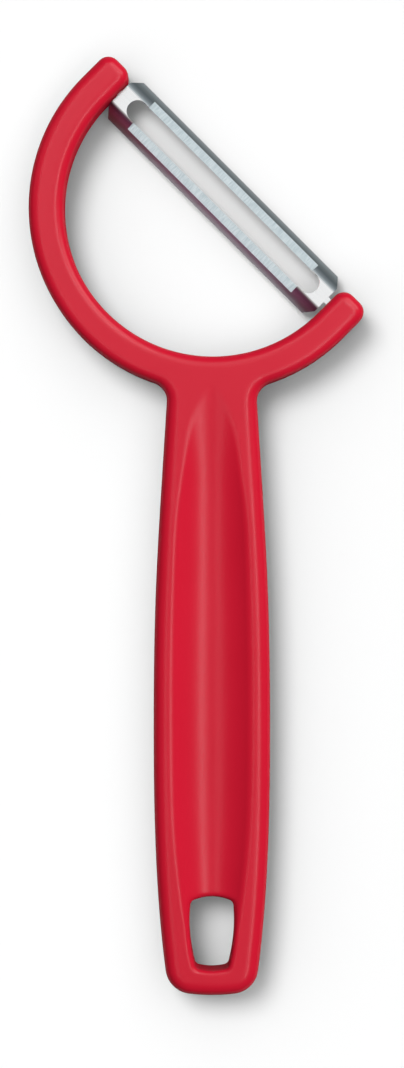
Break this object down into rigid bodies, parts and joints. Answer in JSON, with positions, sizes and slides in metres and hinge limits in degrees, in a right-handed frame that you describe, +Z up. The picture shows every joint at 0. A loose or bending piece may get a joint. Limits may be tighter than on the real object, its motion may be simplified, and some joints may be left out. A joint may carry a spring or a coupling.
{
  "type": "vegetable peeler",
  "caption": "Y-shaped peeler: one-piece moulded plastic handle with a long finger groove and a hanging hole, and a folded, slotted steel blade strip that swivels between its curved arms.",
  "frame": {"origin": "middle of the hanging hole, on the plane that the peeler lies on", "axes": "+X across the grip, +Y along the grip from the hanging hole towards the head, +Z up out of the face that shows the cutting edges"},
  "size_m": [0.055, 0.1542, 0.008],
  "materials": {
    "handle_plastic": "satin",
    "blade_steel": "polished, with ground cutting edges"
  },
  "bodies": {
    "handle": {"handle": "handle_plastic"},
    "blade": {"swivel_blade": "blade_steel"}
  },
  "joints": [
    {"name": "blade_swivel", "type": "hinge", "parent": "handle", "child": "blade", "pos_m": [0.00202, 0.12107, 0.004], "axis": [0.7071, -0.7071, 0], "range_deg": [-40, 40]}
  ]
}
